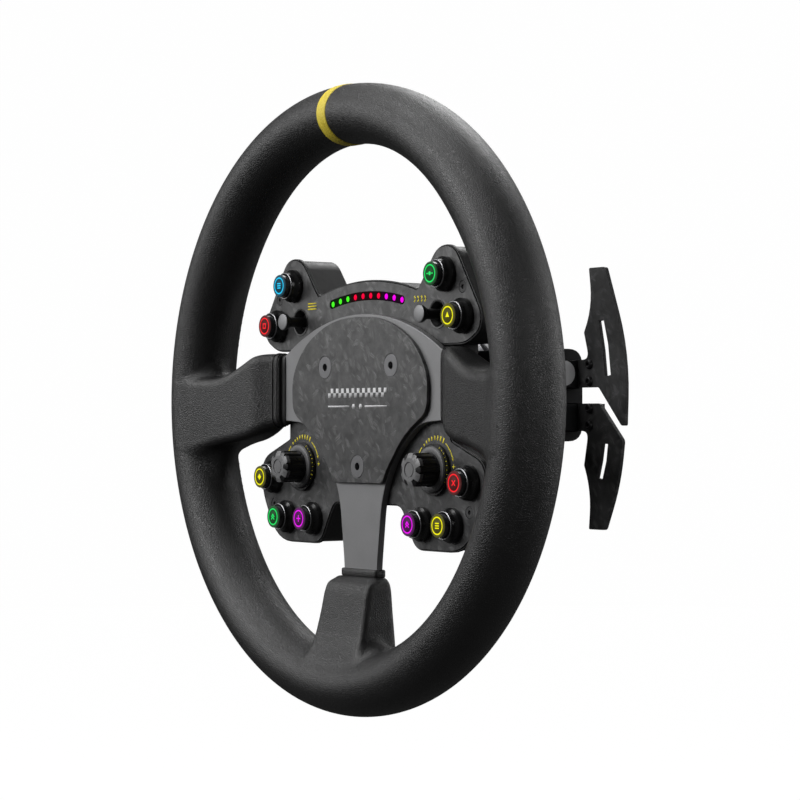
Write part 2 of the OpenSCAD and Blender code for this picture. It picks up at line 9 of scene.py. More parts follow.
import bmesh
import bpy
import numpy as np
from mathutils import Matrix, Vector


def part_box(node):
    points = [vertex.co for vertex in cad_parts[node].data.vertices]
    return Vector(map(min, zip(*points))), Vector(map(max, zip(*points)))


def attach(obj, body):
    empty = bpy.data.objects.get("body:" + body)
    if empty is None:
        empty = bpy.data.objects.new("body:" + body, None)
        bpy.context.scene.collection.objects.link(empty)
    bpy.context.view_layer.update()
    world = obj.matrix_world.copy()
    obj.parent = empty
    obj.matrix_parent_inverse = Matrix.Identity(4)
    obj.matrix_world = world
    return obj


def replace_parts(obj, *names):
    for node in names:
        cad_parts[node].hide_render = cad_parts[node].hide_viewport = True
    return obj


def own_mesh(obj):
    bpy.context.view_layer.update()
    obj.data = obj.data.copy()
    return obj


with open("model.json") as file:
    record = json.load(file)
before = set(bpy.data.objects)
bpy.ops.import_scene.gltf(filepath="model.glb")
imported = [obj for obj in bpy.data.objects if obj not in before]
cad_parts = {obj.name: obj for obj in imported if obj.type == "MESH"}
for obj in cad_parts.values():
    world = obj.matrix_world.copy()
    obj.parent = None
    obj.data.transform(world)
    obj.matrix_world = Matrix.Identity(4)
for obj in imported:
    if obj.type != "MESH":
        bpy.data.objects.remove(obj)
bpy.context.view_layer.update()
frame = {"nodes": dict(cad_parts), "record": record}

MM = 0.001
NODES = frame["nodes"]
SIDES = (("left", -1), ("right", 1))


# ---- Places and sizes, from the frame ----

RIM_LOW, RIM_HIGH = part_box("rim_leather")
RIM_Y = ((RIM_LOW + RIM_HIGH) / 2).y / MM
RIM_OUTER = RIM_HIGH.x / MM
GRIP_B = (RIM_HIGH.y - RIM_LOW.y) / 2 / MM      # half the grip's depth
GRIP_A = 15.75                                  # half the grip's width
RIM_R = RIM_OUTER - GRIP_A                      # radius of the line down the grip's middle
PLATE_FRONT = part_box("button_plate")[0].y / MM - RIM_Y
COVER_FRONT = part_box("center_cover")[0].y / MM - RIM_Y
BEZEL_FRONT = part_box("button_bezels")[0].y / MM - RIM_Y


def to_row(point):
    return Vector((point[0], point[1] + RIM_Y, point[2])) * MM


def spot(node):
    """The middle (x, z) of a CAD node seen from the front, and the y of its front."""
    low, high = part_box(node)
    return ((low.x + high.x) / 2 / MM, (low.z + high.z) / 2 / MM), low.y / MM - RIM_Y


# ---- Materials ----

class Shade:
    """A node material: each method adds one node and returns its output."""

    def __init__(self, name, rough=0.5, metal=0.0, **fixed):
        self.mat = bpy.data.materials.new(name)
        self.mat.use_nodes = True
        self.tree = self.mat.node_tree
        self.bsdf = next(n for n in self.tree.nodes if n.type == "BSDF_PRINCIPLED")
        self.put(self.bsdf, {"Roughness": rough, "Metallic": metal, **fixed})
        self.place = self.node("ShaderNodeTexCoord").outputs["Object"]

    def put(self, node, values):
        for key, value in values.items():
            target = node.inputs[key]
            if isinstance(value, bpy.types.NodeSocket):
                self.tree.links.new(value, target)
            elif isinstance(value, (tuple, list)) and target.type == "RGBA" and len(value) == 3:
                target.default_value = (*value, 1.0)
            else:
                target.default_value = value

    def node(self, kind, values=None, **settings):
        made = self.tree.nodes.new(kind)
        for key, value in settings.items():
            setattr(made, key, value)
        self.put(made, values or {})
        return made

    def noise(self, scale, detail=3.0, rough=0.55, place=None):
        values = {"Vector": place or self.place, "Scale": scale, "Detail": detail,
                  "Roughness": rough}
        return self.node("ShaderNodeTexNoise", values).outputs["Fac"]

    def cell_edges(self, scale):
        values = {"Vector": self.place, "Scale": scale}
        made = self.node("ShaderNodeTexVoronoi", values, feature="DISTANCE_TO_EDGE")
        return made.outputs["Distance"]

    def math(self, operation, a, b=0.0):
        made = self.node("ShaderNodeMath", operation=operation)
        self.put(made, {0: a, 1: b})
        return made.outputs[0]

    def remap(self, value, low, high, to_low=0.0, to_high=1.0):
        values = {"Value": value, "From Min": low, "From Max": high,
                  "To Min": to_low, "To Max": to_high}
        return self.node("ShaderNodeMapRange", values, clamp=True).outputs["Result"]

    def ramp(self, value, stops, interpolation="LINEAR"):
        made = self.node("ShaderNodeValToRGB", {"Fac": value})
        made.color_ramp.interpolation = interpolation
        while len(made.color_ramp.elements) < len(stops):
            made.color_ramp.elements.new(0.5)
        for element, (position, colour) in zip(made.color_ramp.elements, stops):
            element.position = position
            element.color = (*colour, 1.0)
        return made.outputs["Color"]

    def mix(self, factor, a, b):
        made = self.node("ShaderNodeMix", data_type="RGBA")
        self.put(made, {"Factor": factor})
        for key, value in (("A", a), ("B", b)):
            target = [s for s in made.inputs if s.name == key and s.type == "RGBA"][0]
            if isinstance(value, bpy.types.NodeSocket):
                self.tree.links.new(value, target)
            else:
                target.default_value = (*value, 1.0)
        return [s for s in made.outputs if s.type == "RGBA"][0]

    def mapped(self, place, **values):
        values = {key.capitalize(): value for key, value in values.items()}
        return self.node("ShaderNodeMapping", {"Vector": place, **values}).outputs[0]

    def bump(self, height, strength, distance):
        values = {"Height": height, "Strength": strength, "Distance": distance}
        self.put(self.bsdf, {"Normal": self.node("ShaderNodeBump", values).outputs[0]})

    def base(self, colour):
        self.put(self.bsdf, {"Base Color": colour})


def leather(name, dark, light, rough=(0.38, 0.5)):
    """Fine-grained leather: small cells with creases between them, and slow patches of tone."""
    m = Shade(name, **{"Specular IOR Level": 0.62})
    patches = m.noise(26.0, 4.0)
    m.base(m.mix(m.remap(patches, 0.35, 0.65), dark, light))
    pores = m.cell_edges(950.0)
    fine = m.noise(1800.0, 2.0)
    m.put(m.bsdf, {"Roughness": m.remap(m.noise(420.0, 3.0), 0.3, 0.7, *rough)})
    grain = m.math("ADD", m.remap(pores, 0.0, 0.16), m.math("MULTIPLY", fine, 0.5))
    m.bump(grain, 0.5, 0.0002)
    return m.mat


CHIP_WAVE = 0.0022      # metres by which the chips' outlines wander
CHIP_LAYERS = (         # turn in radians, chips per metre across and along
    (0.5, 130.0, 300.0), (-0.9, 160.0, 350.0), (1.9, 115.0, 270.0), (2.7, 175.0, 400.0),
)
DARK_SHARE = 0.62       # share of the chips in a layer that stay dark


def forged_carbon(name, dark, light, rough=0.36):
    """Chopped-fibre composite: thin chips lying every way, a few of them catching the light."""
    m = Shade(name, **{"Coat Weight": 0.1, "Coat Roughness": 0.35})
    warp = m.node("ShaderNodeTexNoise", {"Vector": m.place, "Scale": 260.0, "Detail": 3.0})
    bend = m.node("ShaderNodeVectorMath", {0: warp.outputs["Color"], 1: (CHIP_WAVE,) * 3},
                  operation="MULTIPLY").outputs[0]
    place = m.node("ShaderNodeVectorMath", {0: m.place, 1: bend}, operation="ADD").outputs[0]
    total = m.remap(m.noise(140.0, 5.0, 0.65, place), 0.3, 0.75, 0.0, 0.42)
    for turn, wide, long in CHIP_LAYERS:
        lying = m.mapped(place, rotation=(0.0, turn, 0.0), location=(turn, 0.0, turn))
        chips = m.mapped(lying, scale=(wide, 60.0, long))
        cell = m.node("ShaderNodeTexVoronoi", {"Vector": chips, "Scale": 1.0})
        tone = m.node("ShaderNodeSeparateColor", {"Color": cell.outputs["Color"]}).outputs[0]
        fibres = m.mapped(lying, scale=(320.0, 200.0, 2600.0))
        streak = m.remap(m.noise(1.0, 3.0, 0.6, fibres), 0.3, 0.7, 0.15, 1.0)
        edge = m.remap(cell.outputs["Distance"], 0.3, 0.75, 1.0, 0.0)
        chip = m.math("MULTIPLY", streak, edge)
        shown = m.math("MULTIPLY", m.remap(tone, DARK_SHARE, 1.0), chip)
        total = m.math("MAXIMUM", total, shown)
    middle = [a + (b - a) * 0.35 for a, b in zip(dark, light)]
    m.base(m.ramp(total, [(0.05, dark), (0.4, middle), (0.95, light)]))
    m.put(m.bsdf, {"Roughness": m.remap(total, 0.0, 0.8, rough + 0.06, rough - 0.06)})
    m.bump(total, 0.08, 0.00005)
    return m.mat


def moulded(name, colour, rough=0.5, grain=900.0, depth=0.00005):
    """Plastic with a fine spark-eroded texture and slight unevenness of tone."""
    m = Shade(name)
    lighter = [c * 1.35 + 0.002 for c in colour]
    m.base(m.mix(m.remap(m.noise(70.0, 3.0), 0.3, 0.7), colour, lighter))
    m.put(m.bsdf, {"Roughness": m.remap(m.noise(300.0, 2.0), 0.3, 0.7, rough - 0.04, rough + 0.05)})
    m.bump(m.noise(grain, 3.0, 0.6), 0.25, depth)
    return m.mat


def metal(name, colour, rough=0.3, blasted=True, metallic=1.0):
    """Anodised or bare metal: blasted all over, or with fine lines turned round its axis."""
    m = Shade(name, metal=metallic)
    lighter = [c * 1.12 for c in colour]
    m.base(m.mix(m.remap(m.noise(45.0, 4.0), 0.3, 0.7), colour, lighter))
    if blasted:
        texture = m.noise(2400.0, 2.0, 0.6)
    else:
        texture = m.noise(1.0, 2.0, 0.5, m.mapped(m.place, scale=(40.0, 3500.0, 40.0)))
    m.put(m.bsdf, {"Roughness": m.remap(texture, 0.3, 0.7, rough - 0.05, rough + 0.07)})
    m.bump(texture, 0.15, 0.00003)
    return m.mat


def glowing(name, colour, strength, face=0.15):
    """A lit light guide: coloured plastic that glows a little unevenly."""
    m = Shade(name, rough=0.35, **{"Emission Strength": strength, "Specular IOR Level": 0.04})
    m.base([c * face + 0.002 for c in colour])
    tone = m.remap(m.noise(500.0, 2.0), 0.3, 0.7)
    brighter = [min(1.0, c * 1.05 + 0.01) for c in colour]
    m.put(m.bsdf, {"Emission Color": m.mix(tone, colour, brighter)})
    return m.mat


def printed(name, colour):
    """Screen-printed ink."""
    m = Shade(name)
    m.base(m.mix(m.remap(m.noise(800.0, 2.0), 0.3, 0.7), colour, [c * 0.88 for c in colour]))
    m.bump(m.noise(3000.0, 2.0), 0.1, 0.00002)
    return m.mat


LED_COLOURS = {
    "green": (0.07, 1.0, 0.02), "red": (1.0, 0.0, 0.045), "magenta": (1.0, 0.0, 0.9),
}
LED_STARTS = ((0.0, "green"), (0.28, "red"), (0.70, "magenta"))      # shares of the strip
RING_COLOURS = {
    "cyan": (0.01, 0.60, 1.0), "red": (1.0, 0.012, 0.02), "green": (0.01, 0.78, 0.13),
    "yellow": (0.90, 0.85, 0.0), "magenta": (0.86, 0.0, 0.92),
}


def shift_light_material(name, strength, body):
    """Green, red and magenta lights from left to right along the strip."""
    m = Shade(name, **{"Emission Strength": strength, "Specular IOR Level": 0.02})
    x = m.node("ShaderNodeSeparateXYZ", {"Vector": m.place}).outputs[0]
    low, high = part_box("shift_lights")
    stops = [(start, LED_COLOURS[colour]) for start, colour in LED_STARTS]
    tone = m.ramp(m.remap(x, low.x, high.x), stops, "CONSTANT")
    m.put(m.bsdf, {"Emission Color": tone, "Base Color": body})
    return m.mat


MATERIALS = {
    "leather": leather("rim_leather_grain", (0.0065, 0.0065, 0.0068), (0.0105, 0.0105, 0.0108)),
    "stripe": leather("stripe_leather", (0.70, 0.55, 0.03), (0.78, 0.62, 0.045), (0.5, 0.6)),
    "thread": moulded("seam_thread", (0.02, 0.02, 0.021), 0.7, 2500.0),
    "foam": moulded("moulded_foam", (0.02, 0.02, 0.02), 0.85, 500.0, 0.0002),
    "anodised_frame": metal("gunmetal_anodised", (0.21, 0.21, 0.214), 0.5, metallic=0.5),
    "carbon": forged_carbon("forged_carbon", (0.016, 0.016, 0.0164), (0.15, 0.15, 0.152)),
    "blade_carbon": forged_carbon("blade_carbon", (0.009, 0.009, 0.0095), (0.1, 0.1, 0.102), 0.42),
    "bolt_steel": metal("bolt_steel", (0.16, 0.16, 0.165), 0.42, metallic=0.8),
    "black_steel": metal("black_oxide", (0.012, 0.012, 0.013), 0.38, metallic=0.6),
    "black_plastic": moulded("housing_plastic", (0.0065, 0.0065, 0.0068), 0.5),
    "bezel_plastic": moulded("bezel_black", (0.005, 0.005, 0.0052), 0.3, 1500.0, 0.00002),
    "circuit_board": moulded("solder_mask", (0.01, 0.06, 0.025), 0.4),
    "switch_plastic": moulded("switch_body", (0.02, 0.02, 0.02), 0.45),
    "pressed_steel": metal("plated_steel", (0.45, 0.45, 0.46), 0.3),
    "dark_window": moulded("smoked_window", (0.0025, 0.0025, 0.0026), 0.16, 1500.0, 0.00001),
    "light_guide": shift_light_material("shift_light_glow", 1.05, (0.001, 0.001, 0.001)),
    "lit_window": shift_light_material("smoked_window_glow", 0.008, (0.0015, 0.0015, 0.0016)),
    "black_alloy": metal("black_anodised", (0.018, 0.018, 0.019), 0.42, metallic=0.7),
    "magnet": metal("nickel_plate", (0.62, 0.62, 0.63), 0.22),
    "bare_alloy": metal("turned_alloy", (0.62, 0.62, 0.64), 0.3, blasted=False),
    "contact_brass": metal("gilt_contacts", (0.75, 0.5, 0.18), 0.28),
    "collar_alloy": metal("collar_anodised", (0.03, 0.03, 0.032), 0.36, metallic=0.8),
    "button_cap": moulded("button_cap_smoke", (0.035, 0.035, 0.037), 0.25, 1500.0, 0.00001),
    "stick_alloy": metal("stick_satin", (0.21, 0.21, 0.215), 0.42, metallic=0.6),
    "knob_plastic": moulded("knob_black", (0.006, 0.006, 0.0063), 0.3, 1200.0, 0.00002),
    "knob_cap_plastic": moulded("knob_cap_grey", (0.12, 0.12, 0.122), 0.36, 1200.0, 0.00003),
    "plate_screw": metal("plate_screw", (0.05, 0.05, 0.051), 0.45, metallic=0.6),
    # a near-black band at the spoke ends, darker than the black plastic: painted shade at the
    # wraps' ends
    "end_shade": moulded("painted_end_shade", (0.004, 0.004, 0.0042), 0.5, 1500.0, 0.00002),
    "stick_black": moulded("stick_rubber", (0.008, 0.008, 0.0082), 0.4, 1200.0, 0.00003),
    "polished_disc": metal("polished_disc", (0.6, 0.6, 0.61), 0.35, metallic=0.3),
    # a grey metal ring laid on the black bezel's edge: a painted highlight
    "edge_ring": metal("bezel_edge", (0.30, 0.30, 0.31), 0.3),
    "print_yellow": printed("print_yellow", (0.90, 0.76, 0.02)),
    "print_white": printed("print_white", (0.66, 0.66, 0.67)),
    "skirt_grey": moulded("skirt_face", (0.09, 0.09, 0.092), 0.42, 1200.0, 0.00003),
}
for colour_name, colour_value in RING_COLOURS.items():
    MATERIALS["ring_" + colour_name] = glowing("ring_" + colour_name, colour_value, 0.95)
    for part, share, grey in (("face_", 0.045, 0.006), ("edge_", 0.05, 0.012)):
        tint = [c * share + grey for c in colour_value]
        MATERIALS[part + colour_name] = glowing(part + colour_name, tint, 0.8, 1.0)


# ---- CAD nodes that stay: softened edges and their materials ----

WELD = 1e-6             # metres within which a CAD mesh's doubled points are one


def bevel(obj, width, segments=2, angle=30.0):
    """Rounds every edge sharper than angle, in degrees, over width millimetres."""
    edge = obj.modifiers.new("edge", "BEVEL")
    edge.width = width * MM
    edge.segments = segments
    edge.limit_method = "ANGLE"
    edge.angle_limit = math.radians(angle)
    obj.modifiers.new("shade", "WEIGHTED_NORMAL").keep_sharp = False


def soften(node, width):
    """Rounds a CAD node's edges as a finished part's are, with modifiers only."""
    obj = NODES[node]
    obj.modifiers.new("weld", "WELD").merge_threshold = WELD
    flat = obj.modifiers.new("flat", "DECIMATE")
    flat.decimate_type = "DISSOLVE"
    flat.angle_limit = math.radians(0.6)
    bevel(obj, width, 3, 32.0)


def keep_edges(node):
    """Smooth round faces and crisp edges on a CAD node that needs no rounding."""
    obj = NODES[node]
    obj.modifiers.new("weld", "WELD").merge_threshold = WELD
    obj.modifiers.new("edges", "EDGE_SPLIT").split_angle = math.radians(30.0)


EDGE_WIDTHS = {         # millimetres, by CAD node
    "rim_frame": 0.45, "center_cover": 0.35, "button_plate": 0.45, "rear_housing": 0.9,
    "hub_spacer": 0.5, "paddle_bracket": 0.6, "paddle_housings": 0.7, "qr_body": 0.4,
    "plate_screws": 0.12, "hub_bolts": 0.15, "button_bezels": 0.25, "stick_dishes": 0.2,
    "light_strip": 0.1, "paddle_magnets": 0.1, "encoders": 0.1,
}
for side, _ in SIDES:
    for width, names in (
        (0.2, ("button_top", "button_upper", "button_lower", "button_corner", "button_inner",
               "knob", "knob_cap")),
        (0.25, ("stick",)), (0.3, ("shift_screws", "clutch_screws")),
        (0.5, ("shift_blade", "clutch_blade")), (0.6, ("shift_arm", "clutch_arm")),
    ):
        EDGE_WIDTHS.update({f"{side}_{name}": width for name in names})

# Looks that differ from the node's slot, by the node's name after its first word
LOOK_OF = {"shift_blade": "blade_carbon", "clutch_blade": "blade_carbon", "stick": "stick_black",
           "screws": "plate_screw", "strip": "lit_window"}
SLOT_OF = {row["node"]: row["material_slot"] for row in frame["record"]["subparts"]}
for node, obj in NODES.items():
    obj.data.materials.clear()
    look = LOOK_OF.get(node.split("_", 1)[-1], SLOT_OF[node])
    obj.data.materials.append(MATERIALS[look])
    obj.data.polygons.foreach_set("use_smooth", [True] * len(obj.data.polygons))
    if node in EDGE_WIDTHS:
        soften(node, EDGE_WIDTHS[node])
    else:
        keep_edges(node)


# ---- Mesh helpers ----

def piece(name, points, faces, look, body="wheel", slot=None):
    """A new object of the model from points in millimetres in the rim's frame."""
    mesh = bpy.data.meshes.new(name)
    mesh.from_pydata([to_row(p) for p in points], [], faces)
    mesh.validate()
    obj = bpy.data.objects.new(name, mesh)
    bpy.context.scene.collection.objects.link(obj)
    made = bmesh.new()
    made.from_mesh(mesh)
    bmesh.ops.remove_doubles(made, verts=made.verts, dist=1e-7)
    bmesh.ops.recalc_face_normals(made, faces=made.faces)
    for face in made.faces:
        face.smooth = True
    made.to_mesh(mesh)
    made.free()
    mesh.materials.append(MATERIALS[look])
    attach(obj, body)
    return obj


def prism(outlines, y_low, y_high):
    """Points and faces of flat outlines (lists of (x, z)) raised from y_high to y_low."""
    points, faces = [], []
    for outline in outlines:
        start, count = len(points), len(outline)
        points += [(x, y_low, z) for x, z in outline] + [(x, y_high, z) for x, z in outline]
        faces.append(tuple(range(start, start + count)))
        faces.append(tuple(range(start + 2 * count - 1, start + count - 1, -1)))
        for i in range(count):
            j = (i + 1) % count
            faces.append((start + i, start + j, start + count + j, start + count + i))
    return points, faces


def lathe(at, section, steps=64):
    """Points and faces of a closed (radius, y) section turned about the line at = (x, z)."""
    points, faces, count = [], [], len(section)
    for i in range(steps):
        a = 2 * math.pi * i / steps
        points += [(at[0] + r * math.cos(a), y, at[1] + r * math.sin(a)) for r, y in section]
        for k in range(count):
            j, m = (i + 1) % steps, (k + 1) % count
            faces.append((i * count + k, i * count + m, j * count + m, j * count + k))
    return points, faces


def tube(path, radius, sides=8, closed=False):
    """Points and faces of a round tube along a list of points."""
    line = [Vector(p) for p in path]
    count, points, faces = len(line), [], []
    for i, p in enumerate(line):
        before = line[i - 1] if i or closed else p
        after = line[(i + 1) % count] if i < count - 1 or closed else p
        along = (after - before).normalized()
        upright = abs(along.y) > 0.9
        across = (along.orthogonal() if upright else along.cross(Vector((0, 1, 0)))).normalized()
        third = along.cross(across)
        for k in range(sides):
            a = 2 * math.pi * k / sides
            points.append(tuple(p + radius * (math.cos(a) * across + math.sin(a) * third)))
    for i in range(count if closed else count - 1):
        j = (i + 1) % count
        for k in range(sides):
            m = (k + 1) % sides
            faces.append((i * sides + k, i * sides + m, j * sides + m, j * sides + k))
    if not closed:
        faces += [tuple(range(sides))[::-1], tuple(range((count - 1) * sides, count * sides))]
    return points, faces


def joined(parts):
    """Points and faces of several bodies as one mesh."""
    points, faces = [], []
    for part_points, part_faces in parts:
        start = len(points)
        points += list(part_points)
        faces += [tuple(start + i for i in face) for face in part_faces]
    return points, faces


# ---- The leather rim ----

LEATHER_FOOT = 74.8     # x where the side wraps end
LOW_FOOT = 92.6         # depth below the hub where the low wrap ends
THUMB_ANGLE = 38.0      # degrees above the side spokes where the grip swells for the thumbs
THUMB_SWELL = 1.3
FIELD_SCALE = 17.0      # makes the rim's field about a distance in millimetres
CELL = 1.5              # grid step of the leather's mesh
TRACE_REACH = 60.0


def smooth_max(a, b, size):
    """The larger of a and b, with the corner between them rounded over size."""
    h = np.maximum(size - np.abs(a - b), 0.0) / size
    return np.maximum(a, b) + h * h * size / 4


def smooth_min(a, b, size):
    return -smooth_max(-a, -b, size)


class Profile:
    """A smooth curve through (position, value) points, with its slope."""
    STEP = 0.25

    def __init__(self, blur, *points):
        xs, ys = zip(*sorted(points))
        self.xs = np.arange(xs[0] - 20, xs[-1] + 20, self.STEP)
        raw = np.interp(self.xs, xs, ys)
        reach = int(3 * blur / self.STEP)
        window = np.exp(-0.5 * (np.arange(-reach, reach + 1) * self.STEP / blur) ** 2)
        self.ys = np.convolve(np.pad(raw, reach, mode="edge"), window / window.sum(), "valid")
        self.slopes = np.gradient(self.ys, self.xs)

    def above(self, x, y):
        """Signed distance of (x, y) over the curve, roughly."""
        height = y - np.interp(x, self.xs, self.ys)
        return height / np.hypot(1, np.interp(x, self.xs, self.slopes))


# The side wraps' front and back (x, y) and their top and bottom (x, z)
SIDE_FRONT = Profile(2.2, (70, 3.6), (75, 3.3), (80, 0.6), (88, -5.5), (110, -10.4),
                     (135, -16.0), (147, -18.6), (160, -18.8))
SIDE_BACK = Profile(4.0, (70, 11.3), (84, 12.6), (110, 14.8), (135, 16.5), (160, 17))
SIDE_TOP = Profile(1.6, (70, 26.2), (86, 25.9), (91, 24.7), (99, 20.4), (107, 16.5),
                   (113.5, 14.3), (120, 13), (160, 13))
SIDE_BOTTOM = Profile(2.0, (70, -13.6), (78, -14.2), (85, -17.6), (92.5, -20.2), (100, -22),
                      (110, -23.4), (118, -25), (130, -28), (160, -30))
# The low wrap's front and back (z, y) and half its width (z, x)
LOW_FRONT = Profile(1.1, (-160, -14), (-132, -12), (-122, -8.6), (-115, -7), (-100, -4.2),
                    (-95.5, -2.4), (-92, 2.5), (-86, 4))
LOW_BACK = Profile(2.0, (-160, 14), (-130, 14), (-100, 13), (-93, 12), (-86, 12))
LOW_WIDTH = Profile(0.7, (-160, 21), (-132, 23), (-120, 21.8), (-110, 20.9), (-98, 20.2),
                    (-95, 19.7), (-92.8, 17.0), (-86, 16))


def rim_field(x, y, z):
    """Below 0 inside the grip, an oval ring; the fields after it say the same of the wraps."""
    radius = np.hypot(x, z)
    angle = np.degrees(np.arctan2(z, np.abs(x)))
    bulge = THUMB_SWELL * np.exp(-((angle - THUMB_ANGLE) / 11.0) ** 2)
    inward = np.clip((RIM_R - radius) / GRIP_A, 0, 1)
    across = GRIP_A + bulge * inward
    return (np.sqrt(((radius - RIM_R) / across) ** 2 + (y / GRIP_B) ** 2) - 1) * FIELD_SCALE


def side_field(x, y, z):
    x = np.abs(x)
    body = smooth_max(-SIDE_FRONT.above(x, y), SIDE_BACK.above(x, y), 5.0)
    span = smooth_max(SIDE_TOP.above(x, z), -SIDE_BOTTOM.above(x, z), 4.0)
    foot = smooth_max(smooth_max(body, span, 5.5), LEATHER_FOOT - x, 0.8)
    return np.maximum(foot, np.hypot(x, z) - RIM_R)


def bottom_field(x, y, z):
    body = smooth_max(-LOW_FRONT.above(z, y), LOW_BACK.above(z, y), 4.0)
    span = LOW_WIDTH.above(z, np.abs(x))
    foot = smooth_max(smooth_max(body, span, 3.6), z + LOW_FOOT, 0.8)
    return np.maximum(foot, np.hypot(x, z) - RIM_R)


def leather_field(p):
    """Grip and wraps as one skin: wide fillets on the rim's inner side, none on its outer side."""
    x, y, z = p[..., 0], p[..., 1], p[..., 2]
    below = 1 / (1 + np.exp(z / 4))
    inside = np.exp(-(y / 11.0) ** 2) / (1 + np.exp((np.hypot(x, z) - RIM_R + 3) / 2.0))
    sides = smooth_min(rim_field(x, y, z), side_field(x, y, z), 1.5 + (13 + 12 * below) * inside)
    return smooth_min(sides, bottom_field(x, y, z), 1.5 + 12 * inside)


def surface_of(field, low, high, cell):
    """Closed quad mesh of field = 0: one vertex in each cell the surface crosses, moved onto it."""
    axes = [np.arange(a, b + cell, cell) for a, b in zip(low, high)]
    grid = np.stack(np.meshgrid(*axes, indexing="ij"), -1)
    inside = field(grid) < 0
    rows, columns, layers = (n - 1 for n in inside.shape)
    corners = sum(inside[i:rows + i, j:columns + j, k:layers + k].astype(int)
                  for i in (0, 1) for j in (0, 1) for k in (0, 1))
    crossed = (corners > 0) & (corners < 8)
    index = np.full(crossed.shape, -1)
    index[crossed] = np.arange(crossed.sum())
    cells = np.nonzero(crossed)
    points = np.stack([axes[d][where] + cell / 2 for d, where in enumerate(cells)], -1)
    faces = []
    for d in range(3):
        e, f = [k for k in range(3) if k != d]
        a = np.moveaxis(inside, (d, e, f), (0, 1, 2))
        n = np.moveaxis(index, (d, e, f), (0, 1, 2))
        change = (a[:-1] != a[1:])[:, 1:-1, 1:-1]
        i, j, k = np.nonzero(change)
        quad = np.stack([n[i, j, k], n[i, j + 1, k], n[i, j + 1, k + 1], n[i, j, k + 1]], -1)
        flip = a[:-1][:, 1:-1, 1:-1][change] ^ (d == 1)
        quad[~flip] = quad[~flip][:, ::-1]
        faces.append(quad)
    return points, np.concatenate(faces)


def settle(points, faces, field, rounds=10):
    """Evens a mesh out and moves every point onto field = 0."""
    edges = np.concatenate([faces[:, [i, (i + 1) % 4]] for i in range(4)])
    degree = np.bincount(edges.ravel(), minlength=len(points)).astype(float)[:, None]
    for step in range(rounds):
        total = np.zeros_like(points)
        np.add.at(total, edges[:, 0], points[edges[:, 1]])
        np.add.at(total, edges[:, 1], points[edges[:, 0]])
        if step < rounds - 3:
            points = points + 0.5 * (total / degree - points)
        for _ in range(2):
            value, slope = field(points), slope_of(field, points)
            points = points - slope * (value / np.maximum((slope ** 2).sum(-1), 1e-6))[:, None]
    return points


def slope_of(field, points):
    return np.stack([(field(points + d) - field(points - d)) / 0.1 for d in 0.05 * np.eye(3)], -1)


def traced(field, x, middle, steps=96):
    """The closed loop where field = 0 round middle = (y, z), in the plane at x."""
    loop = []
    for i in range(steps):
        t = 2 * math.pi * i / steps
        reach = np.linspace(1.0, TRACE_REACH, 400)
        line = np.array([(x, middle[0] + r * math.cos(t), middle[1] + r * math.sin(t))
                         for r in reach])
        outside = np.nonzero(field(line) > 0)[0]
        loop.append(tuple(line[outside[0] if len(outside) else -1]))
    return loop


def skin(name, loops, look, slot):
    """A closed skin through several loops of equal length, capped at both ends."""
    count = len(loops[0])
    points = [p for loop in loops for p in loop]
    faces = [tuple(range(count)), tuple(range(len(points) - 1, len(points) - count - 1, -1))]
    for i in range(len(loops) - 1):
        for k in range(count):
            m = (k + 1) % count
            faces.append((i * count + k, i * count + m, (i + 1) * count + m, (i + 1) * count + k))
    return piece(name, points, faces, look, slot=slot)


def leather_rim():
    """Rim and wraps in one piece, shaded by the field's own slope."""
    reach, depth = RIM_OUTER + 4, 22
    points, faces = surface_of(leather_field, (-reach, -depth, -reach), (reach, depth, reach), CELL)
    points = settle(points, faces, leather_field)
    obj = piece("leather_rim", points.tolist(), faces.tolist(), "leather", slot="leather")
    placed = np.array([v.co[:] for v in obj.data.vertices]) / MM - np.array([0, RIM_Y, 0])
    outward = slope_of(leather_field, placed)
    outward /= np.maximum(np.linalg.norm(outward, axis=1, keepdims=True), 1e-9)
    obj.data.normals_split_custom_set_from_vertices(outward.tolist())
    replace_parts(obj, "rim_leather", "spoke_wraps")


def stripe():
    """The yellow centring band at the top, its own strip of leather, a little proud."""
    half = (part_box("top_stripe")[1].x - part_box("top_stripe")[0].x) / 2 / MM
    loops = []
    for x, proud in ((-half, -0.5), (-half + 0.05, 0.12), (-half + 0.7, 0.3), (0, 0.34),
                     (half - 0.7, 0.3), (half - 0.05, 0.12), (half, -0.5)):
        loops.append([(x, (GRIP_B + proud) * math.sin(t),
                       RIM_R + (GRIP_A + proud) * math.cos(t) - x * x / 2 / RIM_R)
                      for t in np.linspace(0, 2 * math.pi, 96, endpoint=False)])
    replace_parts(skin("top_band", loops, "stripe", "stripe"), "top_stripe")


SEAM_SPANS = ((12.5, 167.5), (190.0, 261.0), (279.0, 350.0))      # degrees, between the wraps
SEAM_TURN = math.radians(78.0)      # from the grip's inner side towards its back
STITCH = ((0.0, -0.3), (0.15, 0.28), (0.5, 0.42), (0.85, 0.28), (1.0, -0.3))  # along, height
STITCH_EVERY = 1.75                 # degrees
STITCH_SLANT, STITCH_LENGTH = 0.0055, 0.22                        # radians round rim and grip


def on_grip(angle, section, proud):
    """A point on the grip: angle runs round the rim, section round the grip."""
    radius = RIM_R - (GRIP_A + proud) * math.cos(section)
    return (radius * math.cos(angle), (GRIP_B + proud) * math.sin(section),
            radius * math.sin(angle))


